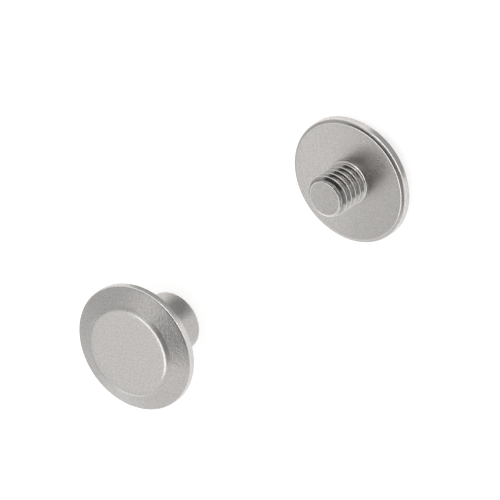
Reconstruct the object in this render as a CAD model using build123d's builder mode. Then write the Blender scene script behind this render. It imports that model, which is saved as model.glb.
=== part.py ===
from build123d import *
from math import ceil, radians, tan
import os

# Chicago screw: a barrel nut and its short machine screw, taken apart and stood side by side.
# Both are turned from stainless bar and have the same low head: a thin rim with a bevelled
# back edge, a cone and a raised flat top. The nut stands on the end of its barrel with its
# head up, the screw stands on its head with its thread up. Millimetres; z = 0 is the floor,
# and the origin lies halfway between the two axes, which stand in a row along Y.

# Heads, alike on both pieces
head_diameter = 12.0
rim_height = 0.9            # from the clamping face to the foot of the cone
rim_bevel = 0.26            # 45 degree bevel round the rim's back edge
rim_round = 0.25            # radius where the rim's side turns into the cone
top_diameter = 8.3          # flat top, measured to the sharp corner under its rounding
top_rise = 1.0              # from the foot of the cone to the flat top
top_round = 1.0             # radius of the soft edge of the flat top

# Thread, ISO metric coarse M4
thread_diameter = 4.0
thread_pitch = 0.7

# Screw
shank_length = 3.8          # from the clamping face to the free end
shank_bevel = 0.34          # 45 degree bevel of the free end
collar_diameter = 4.2       # plain ring between the clamping face and the thread
collar_height = 0.3
thread_lead_in = 0.445      # from the collar's top down to the thread's start, buried at +X
slot_width = 1.0            # straight driver slot across the flat top
slot_depth = 0.7

# Barrel nut
barrel_diameter = 5.65
barrel_length = 5.3         # under the head
barrel_bevel = 0.2
tapping_depth = 5.0         # full-width depth of the blind hole, from the barrel's end
drill_point_angle = 118.0
collar_clearance = 0.15     # round and above the screw's collar, in the mouth of the hole

# The two pieces apart
axis_spacing = 29.2

head_radius = head_diameter / 2
head_height = rim_height + top_rise

# Basic profile of the thread: 60 degree ridges, five eighths of the full V tall, with crests
# that are flat over an eighth of the pitch. Each ridge is swept a little deeper than the core
# and a little taller than its crest, then turned down to the crest.
full_v = thread_pitch * 3**0.5 / 2
flank_slope = tan(radians(30))
crest_radius = thread_diameter / 2
core_radius = crest_radius - full_v * 5 / 8
ridge_foot = core_radius - full_v / 8
ridge_tip = crest_radius + full_v / 20
foot_half_width = thread_pitch / 16 + (crest_radius - ridge_foot) * flank_slope
tip_half_width = thread_pitch / 16 + (crest_radius - ridge_tip) * flank_slope
thread_start = collar_height - thread_lead_in
thread_turns = ceil((shank_length + foot_half_width - thread_start) / thread_pitch)
thread_end = thread_start + thread_turns * thread_pitch + foot_half_width

tapping_radius = (thread_diameter - thread_pitch) / 2
mouth_radius = collar_diameter / 2 + collar_clearance
mouth_depth = collar_height + collar_clearance
drill_point_height = tapping_radius / tan(radians(drill_point_angle / 2))

# Each piece is built from its clamping face, which looks towards the other piece's head
nut_face = Plane(origin=(0, axis_spacing / 2, barrel_length), z_dir=(0, 0, -1))
screw_face = Plane(origin=(0, -axis_spacing / 2, head_height), z_dir=(0, 0, 1))

# Half section of the screw: x is the radius, y the height above its clamping face
screw_section = Plane(origin=screw_face.origin, x_dir=(1, 0, 0), z_dir=(0, -1, 0))
screw_axis = Axis(screw_face.origin, (0, 0, 1))


def turned_head(clamping_face: Plane):
    """A head whose back lies on the clamping face and whose flat top looks against its normal."""
    outwards = clamping_face.location.z_axis
    with BuildPart() as head:
        with BuildSketch(clamping_face):
            Circle(head_radius)
        extrude(amount=-rim_height)
        with BuildSketch(clamping_face.offset(-rim_height)):
            Circle(head_radius)
        with BuildSketch(clamping_face.offset(-head_height)):
            Circle(top_diameter / 2)
        loft()
        fillet(head.edges().filter_by(GeomType.CIRCLE).sort_by(outwards)[0], top_round)
        back_edge = head.edges().filter_by(GeomType.CIRCLE).sort_by(outwards)[-1]
        chamfer(back_edge, rim_bevel)
        widest = head.edges().filter_by(GeomType.CIRCLE).group_by(SortBy.RADIUS)[-1]
        fillet(widest.sort_by(outwards)[0], rim_round)
    return head.part


def thread_turn(height: float):
    """One turn of the thread's ridge, which starts at a height above the clamping face."""
    with BuildPart() as turn:
        with BuildLine() as path:
            Helix(thread_pitch, thread_pitch, crest_radius, center=screw_face.offset(height).origin)
        with BuildSketch(screw_section):
            with BuildLine():
                Polyline((ridge_foot, height - foot_half_width), (ridge_tip, height - tip_half_width),
                         (ridge_tip, height + tip_half_width), (ridge_foot, height + foot_half_width),
                         close=True)
            make_face()
        sweep(path=path.line, is_frenet=True)
        with BuildSketch(screw_face.offset(height - foot_half_width)):
            Circle(crest_radius)
        extrude(amount=thread_pitch + 2 * foot_half_width, mode=Mode.INTERSECT)
    return turn.part


with BuildPart() as barrel_nut:
    add(turned_head(nut_face))
    with BuildSketch(nut_face):
        Circle(barrel_diameter / 2)
    extrude(amount=barrel_length)
    chamfer(barrel_nut.edges().filter_by(GeomType.CIRCLE).sort_by(Axis.Z)[0], barrel_bevel)
    with Locations(nut_face.offset(barrel_length)):
        CounterBoreHole(tapping_radius, mouth_radius, mouth_depth, tapping_depth)
    with Locations(nut_face.offset(barrel_length - tapping_depth)):
        Cone(0, tapping_radius, drill_point_height, align=(Align.CENTER, Align.CENTER, Align.MAX),
             mode=Mode.SUBTRACT)

with BuildPart() as screw:
    add(turned_head(screw_face))
    with BuildSketch(screw_face):
        Circle(collar_diameter / 2)
    extrude(amount=collar_height)
    with BuildSketch(screw_face):
        Circle(core_radius)
    extrude(amount=thread_end)
    for turn_number in range(thread_turns):
        add(thread_turn(thread_start + turn_number * thread_pitch))
    with BuildSketch(screw_section):
        with BuildLine():
            Polyline((0, shank_length), (crest_radius - shank_bevel, shank_length),
                     (ridge_tip, shank_length - shank_bevel - ridge_tip + crest_radius),
                     (ridge_tip, thread_end), (0, thread_end), close=True)
        make_face()
    revolve(axis=screw_axis, mode=Mode.SUBTRACT)
    with BuildSketch(screw_face.offset(-head_height)):
        Rectangle(head_diameter, slot_width)
    extrude(amount=slot_depth, mode=Mode.SUBTRACT)

os.makedirs("parts", exist_ok=True)
barrel_nut.part.label = "barrel_nut"
export_step(barrel_nut.part, "parts/barrel_nut.step")
screw.part.label = "screw"
export_step(screw.part, "parts/screw.step")
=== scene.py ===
from math import ceil, cos, pi, radians, sin, tan

import bmesh
import bpy
import numpy as np
from mathutils import Matrix, Vector


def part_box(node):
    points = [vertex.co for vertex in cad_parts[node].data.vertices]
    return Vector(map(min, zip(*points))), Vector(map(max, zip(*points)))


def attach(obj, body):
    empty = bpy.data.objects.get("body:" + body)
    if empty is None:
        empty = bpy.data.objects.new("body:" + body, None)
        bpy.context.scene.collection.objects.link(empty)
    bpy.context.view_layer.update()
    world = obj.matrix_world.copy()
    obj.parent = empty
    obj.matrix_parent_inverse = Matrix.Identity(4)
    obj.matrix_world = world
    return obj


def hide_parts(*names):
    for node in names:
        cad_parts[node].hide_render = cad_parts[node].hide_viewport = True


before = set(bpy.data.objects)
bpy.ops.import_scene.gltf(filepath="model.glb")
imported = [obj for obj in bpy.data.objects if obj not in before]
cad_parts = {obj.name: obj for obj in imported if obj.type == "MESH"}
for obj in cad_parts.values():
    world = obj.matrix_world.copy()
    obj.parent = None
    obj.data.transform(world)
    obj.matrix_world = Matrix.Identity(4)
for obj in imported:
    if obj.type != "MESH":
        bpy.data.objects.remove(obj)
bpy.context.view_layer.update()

# Barrel nut. A turning of stainless steel: a low stepped head on a plain barrel that is drilled
# and tapped from its end. The head's front is bead blasted, the barrel and the clamping face
# are smooth from the lathe. It stands on the end of its barrel. Sizes are in millimetres.

MM = 0.001
COLUMNS = 256
TURN = np.linspace(0, 2 * pi, COLUMNS, endpoint=False)
SAME_POINT = 1e-4                   # points closer than this are merged

nut_low, nut_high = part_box("barrel_nut")
NUT_Y = (nut_low.y + nut_high.y) / 2 / MM
HEAD_RADIUS = (nut_high.y - nut_low.y) / 2 / MM
RIM_HEIGHT = 0.9
RIM_BEVEL = 0.26
RIM_ROUND = 0.25
BLASTED_RIM = RIM_HEIGHT * 0.6      # height above the clamping face where the blasting ends
TOP_RADIUS = 4.15
TOP_RISE = 1.0
TOP_ROUND = 0.8
TOP_CORNER = TOP_RADIUS - 0.1       # a slightly steeper wall starts here, just inside the top's
CREASE_WIDTH = 0.22                 # edge, and ends in a soft crease this far outside the edge
CREASE_DEPTH = 0.235                # and this far below it
CREASE_ROUND = 0.8
HEAD_HEIGHT = RIM_HEIGHT + TOP_RISE
HEAD_STEPS = 10                     # parts of each arc on the head's front
EDGE_BREAK = 0.04                   # small rounds that turning and tumbling leave on the edges
BEVEL_ROUND = 0.15

BARREL_RADIUS = 2.825
BARREL_LENGTH = 5.3
BARREL_BEVEL = 0.2
TAPPING_RADIUS = 1.65
TAPPING_DEPTH = 5.0
DRILL_ANGLE = radians(118)
DRILL_POINT = TAPPING_RADIUS / tan(DRILL_ANGLE / 2)
MOUTH_RADIUS = 2.25
MOUTH_DEPTH = 0.45

THREAD_RADIUS = 2.0
PITCH = 0.7
FLANK_SLOPE = tan(radians(30))
THREAD_BLEND = 0.045                # rounding of crest and root
ROWS_PER_PITCH = 32
TAPPED_DEPTH = 4.3                  # full thread reaches this far into the hole
TAP_RUN_OUT = 0.5                   # and fades out over this much more


def rounded(corners, steps=5):
    """An outline through corners (radius, height, round). A corner with a round becomes an arc
    about the point on its bisector that lies that far from both its sides, stepped evenly from
    one side to the other. The third column is the wear and painted light: 0 on straights, and up
    to 1 in the middle of an arc, where the edge is smoother and painted brighter as a highlight."""
    points = np.array([corner[:2] for corner in corners], float)
    outline = [[*points[0], 0]]
    for number, (*_, radius) in enumerate(corners[1:-1], 1):
        corner = points[number]
        if radius == 0:
            outline.append([*corner, 0])
            continue
        back, ahead = points[number - 1] - corner, points[number + 1] - corner
        back, ahead = back / np.linalg.norm(back), ahead / np.linalg.norm(ahead)
        half = np.arccos(np.clip(back @ ahead, -1, 1)) / 2
        middle = corner + (back + ahead) / np.linalg.norm(back + ahead) * radius / sin(half)
        start, end = corner + back * radius / tan(half), corner + ahead * radius / tan(half)
        share = np.linspace(0, 1, steps + 1)[:, None]
        swing = pi - 2 * half
        arc = middle + (np.sin((1 - share) * swing) * (start - middle)
                        + np.sin(share * swing) * (end - middle)) / sin(swing)
        outline.extend(np.hstack([arc, np.sin(share * pi) ** 0.5]))
    outline.append([*points[-1], 0])
    return np.array(outline)


def divided(outline, longest=0.3):
    """The outline with its straight stretches cut into equal parts no longer than longest."""
    made = [outline[:1]]
    for start, end in zip(outline, outline[1:]):
        parts = ceil(np.linalg.norm(end[:2] - start[:2]) / longest)
        made.append(start + (end - start) * np.linspace(0, 1, parts + 1)[1:, None])
    return np.concatenate(made)


def turned(outline):
    """An outline turned round the axis: its radius, height and wear with painted light, each
    repeated for every column of the grid."""
    return [np.repeat(outline[:, column:column + 1], COLUMNS, axis=1) for column in range(3)]


def softer(first, second, blend):
    """The smaller of two values, with the corner where they cross rounded over blend: half of
    their sum less the root of their difference squared plus blend squared. A negative blend
    gives the larger one."""
    return (first + second - np.sign(blend) * np.sqrt((first - second) ** 2 + blend ** 2)) / 2


def thread_radius(height, phase, low, high):
    """Radius of a 60 degree right-hand thread. The flanks fall by the cotangent of 30 degrees from
    a crest an eighth of the pitch wide, held softly between low and high. A crest passes +X at
    height phase."""
    along = np.mod(height - phase - PITCH * TURN / (2 * pi) + PITCH / 2, PITCH) - PITCH / 2
    flank = THREAD_RADIUS - (np.abs(along) - PITCH / 16) / FLANK_SLOPE
    return softer(softer(flank, high, THREAD_BLEND), low, -THREAD_BLEND)


def thread_rows(phase, start, end):
    """Heights of rows that climb one pitch each turn and follow the thread, clipped to the flat
    ends start and end. Turns to spare at both ends let every column reach them."""
    first = np.floor((start - phase) / PITCH) - 2
    last = np.ceil((end - phase) / PITCH) + 1
    rows = phase + PITCH * np.arange(first, last, 1 / ROWS_PER_PITCH)[:, None]
    return np.clip(rows + PITCH * TURN / (2 * pi), start, end)


def patch(radius, height, wear_and_painted_light, material, rise=0, inward=False):
    """Points and four-sided faces of a grid of rows and columns round the axis. The last column
    joins the first, rise rows further on, as the turns of a thread do."""
    points = np.stack([radius * np.cos(TURN), radius * np.sin(TURN), height], axis=-1)
    index = np.arange(height.size).reshape(height.shape)
    open_rows = np.full((rise, 1), -1)
    beside = np.hstack([index[:, 1:], np.vstack([index[rise:, :1], open_rows])])
    corners = [index[:-1], beside[:-1], beside[1:], index[1:]]
    faces = np.stack(corners[::-1] if inward else corners, axis=-1).reshape(-1, 4)
    faces = faces[(faces >= 0).all(axis=1)]
    return points.reshape(-1, 3), faces, wear_and_painted_light.reshape(-1), np.full(len(faces), material)


def in_scene(name, data):
    """A new object of this name and data, linked to the scene."""
    made = bpy.data.objects.new(name, data)
    bpy.context.scene.collection.objects.link(made)
    return made


def machined_piece(name, patches, centre_y, materials):
    """A closed mesh from patches that share their end rings: all points and faces in one list,
    moved to the piece's own axis, with the rings' doubles merged and every face smooth."""
    offsets = np.cumsum([0] + [len(points) for points, *_ in patches])
    points = np.concatenate([part[0] for part in patches])
    faces = np.concatenate([part[1] + offset for part, offset in zip(patches, offsets)])
    mesh = bpy.data.meshes.new(name)
    mesh.from_pydata(((points + (0, centre_y, 0)) * MM).tolist(), [], faces.tolist())
    wear_and_painted_light = mesh.attributes.new("wear_and_painted_light", "FLOAT", "POINT")
    wear_and_painted_light.data.foreach_set("value", np.concatenate([part[2] for part in patches]).astype(np.float32))
    mesh.polygons.foreach_set("material_index", np.concatenate([part[3] for part in patches]))
    made = bmesh.new()
    made.from_mesh(mesh)
    bmesh.ops.remove_doubles(made, verts=made.verts, dist=SAME_POINT * MM)
    bmesh.ops.dissolve_degenerate(made, edges=made.edges, dist=SAME_POINT * MM)
    made.to_mesh(mesh)
    made.free()
    mesh.polygons.foreach_set("use_smooth", np.ones(len(mesh.polygons), bool))
    for material in materials:
        mesh.materials.append(material)
    return in_scene(name, mesh)


def new_node(tree, kind, inputs=(), **settings):
    """A shader node with its settings and its inputs: a value is set, a socket is linked."""
    node = tree.nodes.new(kind)
    for key, value in settings.items():
        setattr(node, key, value)
    for key, value in dict(inputs).items():
        if isinstance(value, bpy.types.NodeSocket):
            tree.links.new(value, node.inputs[key])
        else:
            node.inputs[key].default_value = value
    return node


STEEL = (0.552, 0.534, 0.52)
GRAIN_SPAN = 0.25, 0.75             # most values of the grain and the cloud lie between these
CLOUD_SPAN = 0.3, 0.7
CLOUD_SIZE = 1.6
CLOUD_SWING = 0.08                  # the cloud varies the roughness by this share both ways
RING_SPACING = 0.05
WORN_SHINE = 0.25                   # share of its roughness that a worn edge loses
WORN_GRAIN = 0.85                   # share of its grain's height that a worn edge loses


def steel(name, axis_y, roughness, grain_size, grain_height, tone_swing, ring_height=0.0, painted_light_tone=0.04):
    """Bare stainless steel. A fine grain varies its tone and lifts its surface, and a broad faint
    cloud varies its roughness. Where it is left from the lathe, rings round the piece's axis lift
    it too. Edges, where the attribute read below is 1, are smoother and painted brighter by the
    given tone as a highlight. Thread roots, where it is -1, are rougher and painted darker by as
    much, as shade."""
    material = bpy.data.materials.new(name)
    material.use_nodes = True
    tree = material.node_tree
    shader = tree.nodes["Principled BSDF"]
    shader.inputs["Metallic"].default_value = 1.0
    place = new_node(tree, "ShaderNodeTexCoord").outputs["Object"]
    centred = new_node(tree, "ShaderNodeMapping", {"Vector": place, "Location": (0, -axis_y * MM, 0)})
    centred = centred.outputs["Vector"]
    grain = new_node(tree, "ShaderNodeTexNoise", {"Vector": centred, "Scale": 1 / (grain_size * MM),
                                                  "Detail": 1.0}).outputs["Fac"]
    cloud = new_node(tree, "ShaderNodeTexNoise", {"Vector": centred, "Scale": 1 / (CLOUD_SIZE * MM),
                                                  "Detail": 2.0}).outputs["Fac"]
    wear_and_painted_light = new_node(tree, "ShaderNodeAttribute", attribute_name="wear_and_painted_light").outputs["Fac"]
    tint = new_node(tree, "ShaderNodeMapRange",
                    {"Value": grain, "From Min": GRAIN_SPAN[0], "From Max": GRAIN_SPAN[1],
                     "To Min": 1 - tone_swing, "To Max": 1 + tone_swing}).outputs["Result"]
    # Painted light: the tint is raised on rounded edges and crests as a painted highlight, and lowered in
    # thread roots as painted shade.
    painted_light_tint = new_node(tree, "ShaderNodeMath", {0: wear_and_painted_light, 1: painted_light_tone, 2: tint},
                         operation="MULTIPLY_ADD").outputs["Value"]
    colour = new_node(tree, "ShaderNodeVectorMath", {0: STEEL, "Scale": painted_light_tint}, operation="SCALE")
    tree.links.new(colour.outputs["Vector"], shader.inputs["Base Color"])
    gloss = new_node(tree, "ShaderNodeMapRange",
                     {"Value": cloud, "From Min": CLOUD_SPAN[0], "From Max": CLOUD_SPAN[1],
                      "To Min": roughness * (1 - CLOUD_SWING),
                      "To Max": roughness * (1 + CLOUD_SWING)}).outputs["Result"]
    worn_gloss = new_node(tree, "ShaderNodeMath", {0: wear_and_painted_light, 1: -WORN_SHINE * roughness, 2: gloss},
                          operation="MULTIPLY_ADD").outputs["Value"]
    tree.links.new(worn_gloss, shader.inputs["Roughness"])
    unworn = new_node(tree, "ShaderNodeMath", {0: wear_and_painted_light, 1: -WORN_GRAIN, 2: 1.0}, operation="MULTIPLY_ADD")
    bump = new_node(tree, "ShaderNodeBump", {"Height": grain, "Distance": grain_height * MM,
                                             "Strength": unworn.outputs["Value"]})
    if ring_height:
        flat = new_node(tree, "ShaderNodeVectorMath", {0: centred, 1: (1, 1, 0)},
                        operation="MULTIPLY").outputs["Vector"]
        radius = new_node(tree, "ShaderNodeVectorMath", {0: flat}, operation="LENGTH").outputs["Value"]
        rings = new_node(tree, "ShaderNodeTexNoise",
                         {"W": radius, "Scale": 1 / (RING_SPACING * MM), "Detail": 2.0},
                         noise_dimensions="1D").outputs["Fac"]
        bump = new_node(tree, "ShaderNodeBump",
                        {"Height": rings, "Distance": ring_height * MM, "Normal": bump.outputs["Normal"]})
    tree.links.new(bump.outputs["Normal"], shader.inputs["Normal"])
    return material


BLASTING = {"roughness": 0.32, "grain_size": 0.15, "grain_height": 0.023, "tone_swing": 0.155}
# Rounded edges of the nut are painted a little brighter, as a highlight.
nut_materials = [
    steel("blasted_steel", NUT_Y, **BLASTING),
    steel("turned_steel", NUT_Y, roughness=0.28, grain_size=0.17, grain_height=0.007, tone_swing=0.12,
          ring_height=0.001),
    steel("tapped_steel", NUT_Y, roughness=0.2, grain_size=0.1, grain_height=0.002, tone_swing=0.05),
]
BLASTED, TURNED, THREADED = range(3)

# Four surfaces from the bottom of the hole outwards: the drilled bore, the tapped thread, the
# barrel from the recess at its mouth to the middle of the rim, and the head's blasted front. The
# rings where the bore and the barrel meet the thread take the thread's own radius.

head_foot = BARREL_LENGTH
tapped_end = TAPPED_DEPTH + TAP_RUN_OUT
drilling = rounded([
    (0, TAPPING_DEPTH + DRILL_POINT, 0), (TAPPING_RADIUS, TAPPING_DEPTH, 0), (TAPPING_RADIUS, tapped_end, 0)])
barrel = rounded([
    (THREAD_RADIUS, MOUTH_DEPTH, 0), (THREAD_RADIUS + EDGE_BREAK, MOUTH_DEPTH, 0),
    (MOUTH_RADIUS, MOUTH_DEPTH, EDGE_BREAK), (MOUTH_RADIUS, 0, EDGE_BREAK),
    (BARREL_RADIUS - BARREL_BEVEL, 0, EDGE_BREAK), (BARREL_RADIUS, BARREL_BEVEL, EDGE_BREAK),
    (BARREL_RADIUS, head_foot, EDGE_BREAK), (HEAD_RADIUS - RIM_BEVEL, head_foot, BEVEL_ROUND),
    (HEAD_RADIUS, head_foot + RIM_BEVEL, BEVEL_ROUND), (HEAD_RADIUS, head_foot + BLASTED_RIM, 0)])
front = rounded([
    (HEAD_RADIUS, head_foot + BLASTED_RIM, 0), (HEAD_RADIUS, head_foot + RIM_HEIGHT, RIM_ROUND),
    (TOP_RADIUS + CREASE_WIDTH, head_foot + HEAD_HEIGHT - CREASE_DEPTH, CREASE_ROUND),
    (TOP_CORNER, head_foot + HEAD_HEIGHT, TOP_ROUND), (0, head_foot + HEAD_HEIGHT, 0)], HEAD_STEPS)

tapped_height = thread_rows(0, MOUTH_DEPTH, tapped_end)
tap_depth = np.clip((tapped_end - tapped_height) / TAP_RUN_OUT, 0, 1)
tapped_radius = thread_radius(tapped_height, 0, TAPPING_RADIUS,
                              TAPPING_RADIUS + (THREAD_RADIUS - TAPPING_RADIUS) * tap_depth)
bore_radius, bore_height, bore_wear_and_light = turned(divided(drilling))
bore_radius[-1] = tapped_radius[-1]
barrel_radius, barrel_height, barrel_wear_and_light = turned(divided(barrel))
barrel_radius[0] = tapped_radius[0]
barrel_nut = machined_piece("barrel_nut_turning", [
    patch(bore_radius, bore_height, bore_wear_and_light, THREADED),
    patch(tapped_radius, tapped_height, np.zeros_like(tapped_height), THREADED, ROWS_PER_PITCH, inward=True),
    patch(barrel_radius, barrel_height, barrel_wear_and_light, TURNED),
    patch(*turned(divided(front)), BLASTED),
], NUT_Y, nut_materials)
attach(barrel_nut, "root")
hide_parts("barrel_nut")

# Screw. The same head turned the other way, a plain collar and a short rolled M4 thread whose
# end is bevelled. Its clamping face and free end are fine turned, and its collar and thread are
# bright, with painted highlights on their rounds and crests and painted shade in the thread's
# roots. The flat top, which it stands on, has the driver slot.

COLLAR_RADIUS = 2.1
COLLAR_HEIGHT = 0.3
COLLAR_ROUND = 0.17
SHANK_LENGTH = 3.8
SHANK_BEVEL = 0.34
BACK_BEVEL = 0.34                   # the bevel behind the screw's rim is twice as wide as it is deep
FACE_ROUND = 0.32                   # where the clamping face meets its bevel
END_ROUND = 0.09
END_STEPS = 6                       # parts of the arc round the free end's edge
END_RING = 1.4                      # a ring of the flat end's grid, inside its edge
SHARP_HEIGHT = PITCH * 3**0.5 / 2   # of a 60 degree thread with sharp crests and roots
CORE_RADIUS = THREAD_RADIUS - SHARP_HEIGHT * 5 / 8
THREAD_FOOT = 1.9                   # about where the collar's end face meets the thread
THREAD_PHASE = -0.145               # height of a crest above the clamping face, on the +X side
CREST_BAND = 0.08                   # the crests are polished, and painted brighter as a highlight, down to this depth
ROOT_START = 0.14                   # and the roots grow rougher, and are painted darker as shade, from this depth
ROOT_BAND = 0.2                     # over this much more
SLOT_WIDTH = 1.0
SLOT_DEPTH = 0.7
SLOT_CORNER = radians(30)           # edges that turn by more than this shade sharp

screw_low, screw_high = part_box("screw")
SCREW_Y = (screw_low.y + screw_high.y) / 2 / MM
face_height = HEAD_HEIGHT
# The clamping face's rounded edge is painted brighter, and the collar's round and the thread's crests much
# brighter, as highlights; the thread's roots are painted darker as shade.
screw_materials = [
    steel("blasted_steel_screw", SCREW_Y, **BLASTING),
    steel("fine_turned_steel", SCREW_Y, roughness=0.28, grain_size=0.17, grain_height=0.004,
          tone_swing=0.12, ring_height=0.0006, painted_light_tone=0.2),
    steel("rolled_thread_steel", SCREW_Y, roughness=0.15, grain_size=0.1, grain_height=0.002,
          tone_swing=0.08, painted_light_tone=0.43),
]

# Six surfaces from the flat top upwards: the head's blasted front, its turned back, the collar,
# the thread, the rounded edge of the free end, and the flat end. The collar's last ring takes the
# thread's own radius.

thread_low, thread_high = face_height + COLLAR_HEIGHT, face_height + SHANK_LENGTH
crest_phase = face_height + THREAD_PHASE
screw_front = rounded([
    (0, 0, 0), (TOP_CORNER, 0, TOP_ROUND), (TOP_RADIUS + CREASE_WIDTH, CREASE_DEPTH, CREASE_ROUND),
    (HEAD_RADIUS, TOP_RISE, RIM_ROUND), (HEAD_RADIUS, face_height - BLASTED_RIM, 0)], HEAD_STEPS)
back = rounded([
    (HEAD_RADIUS, face_height - BLASTED_RIM, 0), (HEAD_RADIUS, face_height - BACK_BEVEL / 2, RIM_ROUND),
    (HEAD_RADIUS - BACK_BEVEL, face_height, FACE_ROUND), (COLLAR_RADIUS, face_height, 0)])
collar = rounded([
    (COLLAR_RADIUS, face_height, 0), (COLLAR_RADIUS, thread_low, COLLAR_ROUND),
    (THREAD_FOOT, thread_low, 0)])
flat_end = np.array([[END_RING, thread_high, 0], [0, thread_high, 0]])


def screw_thread_radius(height):
    """The external thread, turned down to a 45 degree cone at its free end."""
    bevel = THREAD_RADIUS - SHANK_BEVEL + (thread_high - height)
    return softer(thread_radius(height, crest_phase, CORE_RADIUS, THREAD_RADIUS), bevel, THREAD_BLEND)


collar_radius, collar_height, collar_wear_and_light = turned(divided(collar))
collar_radius[-1] = screw_thread_radius(collar_height[-1])
thread_height = thread_rows(crest_phase, thread_low, thread_high - END_ROUND)
threaded_radius = screw_thread_radius(thread_height)
crest_polish_and_highlight = np.clip(1 - (THREAD_RADIUS - threaded_radius) / CREST_BAND, 0, 1)
root_dullness_and_shade = np.clip((THREAD_RADIUS - ROOT_START - threaded_radius) / ROOT_BAND, 0, 1)
edge_swing = np.linspace(0, pi / 2, END_STEPS + 1)[:, None]
edge_height = np.tile(thread_high - END_ROUND * (1 - np.sin(edge_swing)), COLUMNS)
edge_radius = screw_thread_radius(edge_height) - END_ROUND * (1 - np.cos(edge_swing))
end_radius = np.vstack([edge_radius[-1:], turned(divided(flat_end))[0]])
end_height = np.full_like(end_radius, thread_high)
screw = machined_piece("screw_turning", [
    patch(*turned(divided(screw_front)), BLASTED),
    patch(*turned(divided(back)), TURNED),
    # The collar's round is painted much brighter, as a highlight ring.
    patch(collar_radius, collar_height, collar_wear_and_light, THREADED),
    # The thread's crests are painted brighter as highlights and its roots painted darker as shade.
    patch(threaded_radius, thread_height, crest_polish_and_highlight - root_dullness_and_shade, THREADED, ROWS_PER_PITCH),
    # The free end's rounded edge is painted brighter all round, as a highlight line.
    patch(edge_radius, edge_height, np.ones_like(edge_height), THREADED),
    patch(end_radius, end_height, np.zeros_like(end_radius), TURNED),
], SCREW_Y, screw_materials)

# The slot is sawn right across the flat top by a bar that lies half under it.

bar = bmesh.new()
bmesh.ops.create_cube(bar, size=1.0, matrix=Matrix.Translation((0, SCREW_Y * MM, 0))
                      @ Matrix.Diagonal((3 * HEAD_RADIUS * MM, SLOT_WIDTH * MM, 2 * SLOT_DEPTH * MM, 1)))
slot_cutter = in_scene("slot_cutter", bpy.data.meshes.new("slot_cutter"))
bar.to_mesh(slot_cutter.data)
bar.free()
sawing = screw.modifiers.new("slot", "BOOLEAN")
sawing.object, sawing.operation, sawing.solver = slot_cutter, "DIFFERENCE", "EXACT"
sawn = bpy.data.meshes.new_from_object(screw.evaluated_get(bpy.context.evaluated_depsgraph_get()))
screw.modifiers.clear()
screw.data = sawn
sawn.set_sharp_from_angle(angle=SLOT_CORNER)
bpy.data.objects.remove(slot_cutter)
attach(screw, "root")
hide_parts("screw")

# Studio: white paper on the table in an open white tent. Bare steel shows its shape by what it
# reflects, so two softboxes and grey cards stand round the pieces and soft grey spots lie just
# over the paper. The darkest of the wide cards stands behind the camera.

CAMERA_AZIMUTH, CAMERA_ELEVATION, CAMERA_ROLL = radians(-2.55), radians(46.2), radians(124.75)
CAMERA_DISTANCE = 120
VIEW_WIDTH = 44.37
PAPER_SIZE = 4000
PAPER_WHITE = 0.85
PAPER_GLOW = 0.5                    # how much of white the paper adds where it is seen
TENT_LEVEL = 0.88
looking = Vector((-sin(CAMERA_AZIMUTH) * cos(CAMERA_ELEVATION), cos(CAMERA_AZIMUTH) * cos(CAMERA_ELEVATION),
                  -sin(CAMERA_ELEVATION)))
level_right = Vector((cos(CAMERA_AZIMUTH), sin(CAMERA_AZIMUTH), 0))
level_up = level_right.cross(looking)
right = cos(CAMERA_ROLL) * level_right - sin(CAMERA_ROLL) * level_up
up = sin(CAMERA_ROLL) * level_right + cos(CAMERA_ROLL) * level_up
aim = Vector((0.59, -1.5, 3.6)) * MM

camera_data = bpy.data.cameras.new("camera")
camera_data.type = "ORTHO"
camera_data.ortho_scale = VIEW_WIDTH * MM
camera_data.clip_start, camera_data.clip_end = 0.001, 10
camera = in_scene("camera", camera_data)
camera.matrix_world = Matrix.Translation(aim - looking * (CAMERA_DISTANCE * MM)) @ Matrix(
    (right, up, -looking)).transposed().to_4x4()
bpy.context.scene.camera = camera


def shaderless_material(name):
    """A material with nothing in its node tree but the output."""
    material = bpy.data.materials.new(name)
    material.use_nodes = True
    material.node_tree.nodes.remove(material.node_tree.nodes["Principled BSDF"])
    return material


floor_mesh = bpy.data.meshes.new("floor")
reach = PAPER_SIZE / 2 * MM
floor_mesh.from_pydata([(-reach, -reach, 0), (reach, -reach, 0), (reach, reach, 0), (-reach, reach, 0)],
                       [], [(0, 1, 2, 3)])
paper = shaderless_material("white_paper")
tree = paper.node_tree
ray = new_node(tree, "ShaderNodeLightPath").outputs
seen = new_node(tree, "ShaderNodeMath", {0: ray["Is Camera Ray"], 1: ray["Is Glossy Ray"]},
                operation="MAXIMUM").outputs["Value"]
seen = new_node(tree, "ShaderNodeMath", {0: seen, 1: ray["Is Transmission Ray"]},
                operation="MAXIMUM").outputs["Value"]
lift = new_node(tree, "ShaderNodeMath", {0: seen, 1: PAPER_GLOW}, operation="MULTIPLY").outputs["Value"]
matt = new_node(tree, "ShaderNodeBsdfDiffuse", {"Color": (PAPER_WHITE, PAPER_WHITE, PAPER_WHITE, 1)})
glow = new_node(tree, "ShaderNodeEmission", {"Color": (1, 1, 1, 1), "Strength": lift})
both = new_node(tree, "ShaderNodeAddShader", {0: matt.outputs["BSDF"], 1: glow.outputs["Emission"]})
tree.links.new(both.outputs["Shader"], tree.nodes["Material Output"].inputs["Surface"])
floor_mesh.materials.append(paper)
in_scene("floor", floor_mesh)

world = bpy.data.worlds.new("light_tent")
bpy.context.scene.world = world
world.use_nodes = True
world.node_tree.nodes["Background"].inputs["Color"].default_value = (1, 1, 1, 1)
world.node_tree.nodes["Background"].inputs["Strength"].default_value = TENT_LEVEL


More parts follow.
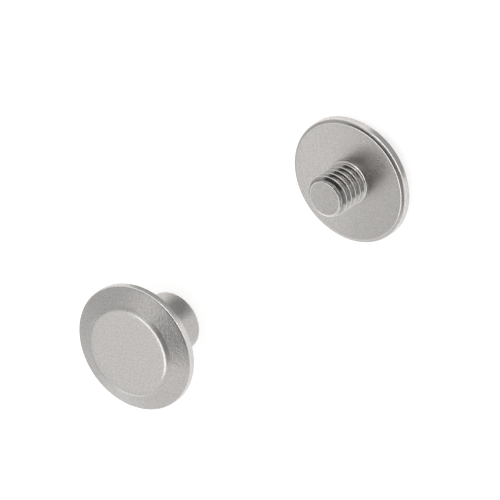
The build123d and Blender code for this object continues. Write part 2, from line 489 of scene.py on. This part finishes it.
def reflected_sheet(name, outline):
    """A flat sheet inside an outline of points, which only shows in reflections. It gives the node
    tree of the sheet's material, which has no shader yet."""
    mesh = bpy.data.meshes.new(name)
    mesh.from_pydata(outline, [], [tuple(range(len(outline)))])
    mesh.materials.append(shaderless_material(name))
    sheet = in_scene(name, mesh)
    sheet.visible_camera = sheet.visible_diffuse = sheet.visible_shadow = False
    return mesh.materials[0].node_tree


def card(name, corners, distance, strength, centre=aim):
    """A card or softbox whose corners lie at a distance from the centre, in the directions given.
    It gives off strength, of which white is 1."""
    tree = reflected_sheet(name, [centre + Vector(corner).normalized() * (distance * MM)
                                  for corner in corners])
    glow = new_node(tree, "ShaderNodeEmission", {"Color": (1, 1, 1, 1), "Strength": strength})
    tree.links.new(glow.outputs["Emission"], tree.nodes["Material Output"].inputs["Surface"])


card("camera_flag", [(-0.62, 0.04, 0.78), (-0.58, -0.78, 0.24), (0.30, -0.92, 0.24), (0.16, -0.70, 0.60),
                     (0.12, 0.04, 0.99), (-0.12, 0.14, 0.98), (-0.42, 0.16, 0.89)],
     distance=300, strength=0.30)
card("softbox", [(0.36, 0.20, 0.92), (0.20, 0.46, 0.86), (-0.26, 0.56, 0.78), (-0.48, 0.42, 0.77),
                 (-0.28, 0.24, 0.93)], distance=400, strength=2.0)
card("low_softbox", [(-0.60, -0.90, 0.05), (0.60, -0.90, 0.05), (0.58, -0.88, 0.20), (-0.58, -0.88, 0.20)],
     distance=400, strength=3.7)
card("side_flag", [(0.50, 0.0, 0.87), (0.62, -0.55, 0.56), (0.97, -0.35, 0.12), (0.80, 0.58, 0.12),
                   (0.45, 0.88, 0.12), (0.42, 0.62, 0.66)], distance=450, strength=0.60)
card("back_flag", [(0.24, 0.95, 0.0), (0.45, 0.88, 0.0), (0.45, 0.80, 0.40), (0.16, 0.88, 0.38)],
     distance=500, strength=0.68)

# Four small cards hang close over the screw, for its thread, clamping face and free end.

face_middle = Vector((0, SCREW_Y, face_height)) * MM
card("thread_flag", [(-0.25, -0.35, 0.90), (-0.20, 0.0, 0.98), (0.35, 0.10, 0.93), (0.62, 0.18, 0.76),
                     (0.66, -0.20, 0.72), (0.30, -0.50, 0.81)],
     distance=36, strength=0.05, centre=face_middle)
card("thread_side_flag", [(-0.20, -0.10, 0.97), (-0.45, 0.22, 0.86), (-0.80, 0.22, 0.56),
                          (-0.78, -0.20, 0.60)], distance=36, strength=0.34, centre=face_middle)
card("face_flag", [(0.45, 0.25, 0.86), (-0.28, 0.82, 0.50), (-0.62, 0.42, 0.66), (-0.20, 0.24, 0.95)],
     distance=18, strength=0.66, centre=face_middle)
card("end_card", [(0.18, 0.58, 0.79), (-0.12, 0.58, 0.79), (-0.12, 0.40, 0.91), (0.18, 0.40, 0.91)],
     distance=17.2, strength=0.95, centre=face_middle)


def soft_spot(name, one_end, other_end, level, inner, outer, grey):
    """A grey oval at a level just above the paper that fades out outwards. Half the sum of the
    distances to its two ends is inner where it starts to fade and outer where it is gone."""
    one_end, other_end = Vector((*one_end, level)), Vector((*other_end, level))
    middle = (one_end + other_end) / 2
    ring = np.stack([middle.x + outer * np.cos(TURN), middle.y + outer * np.sin(TURN),
                     np.full(COLUMNS, level)], axis=-1)
    tree = reflected_sheet(name, (ring * MM).tolist())
    place = new_node(tree, "ShaderNodeTexCoord").outputs["Object"]
    to_one, to_other = [new_node(tree, "ShaderNodeVectorMath", {0: place, 1: end * MM}, operation="DISTANCE")
                        .outputs["Value"] for end in (one_end, other_end)]
    away = new_node(tree, "ShaderNodeMath", {0: to_one, 1: to_other}, operation="ADD").outputs["Value"]
    cover = new_node(tree, "ShaderNodeMapRange",
                     {"Value": away, "From Min": 2 * inner * MM, "From Max": 2 * outer * MM,
                      "To Min": 1.0, "To Max": 0.0}, interpolation_type="SMOOTHSTEP")
    glow = new_node(tree, "ShaderNodeEmission", {"Strength": grey})
    clear = new_node(tree, "ShaderNodeBsdfTransparent")
    mixed = new_node(tree, "ShaderNodeMixShader", {0: cover.outputs["Result"], 1: clear.outputs["BSDF"],
                                                   2: glow.outputs["Emission"]})
    tree.links.new(mixed.outputs["Shader"], tree.nodes["Material Output"].inputs["Surface"])


soft_spot("barrel_side_spot", (-1.0, NUT_Y - 5.2), (-5.0, NUT_Y - 2.4),
          level=0.10, inner=3.4, outer=4.8, grey=0.88)
soft_spot("barrel_spot", (1.0, NUT_Y - 3.6), (2.8, NUT_Y - 6.6),
          level=0.12, inner=2.0, outer=4.0, grey=0.34)
soft_spot("rim_spot", (1.0, NUT_Y - 11.8), (9.5, NUT_Y - 4.5),
          level=0.14, inner=6.2, outer=8.5, grey=0.48)
soft_spot("nut_back_spot", (5.0, NUT_Y + 17.0), (14.0, NUT_Y + 28.0),
          level=0.10, inner=10.0, outer=20.0, grey=0.15)
soft_spot("nut_far_spot", (12.0, NUT_Y + 27.0), (50.0, NUT_Y + 113.0),
          level=0.12, inner=52.0, outer=60.0, grey=0.6)
soft_spot("screw_spot", (-9.0, SCREW_Y - 28.0), (22.0, SCREW_Y - 22.0),
          level=0.10, inner=17.0, outer=21.0, grey=0.12)
soft_spot("screw_rim_spot", (-3.8, SCREW_Y - 7.4), (3.4, SCREW_Y - 7.6),
          level=0.12, inner=3.8, outer=4.7, grey=0.5)

bpy.context.scene.view_settings.view_transform = "Standard"
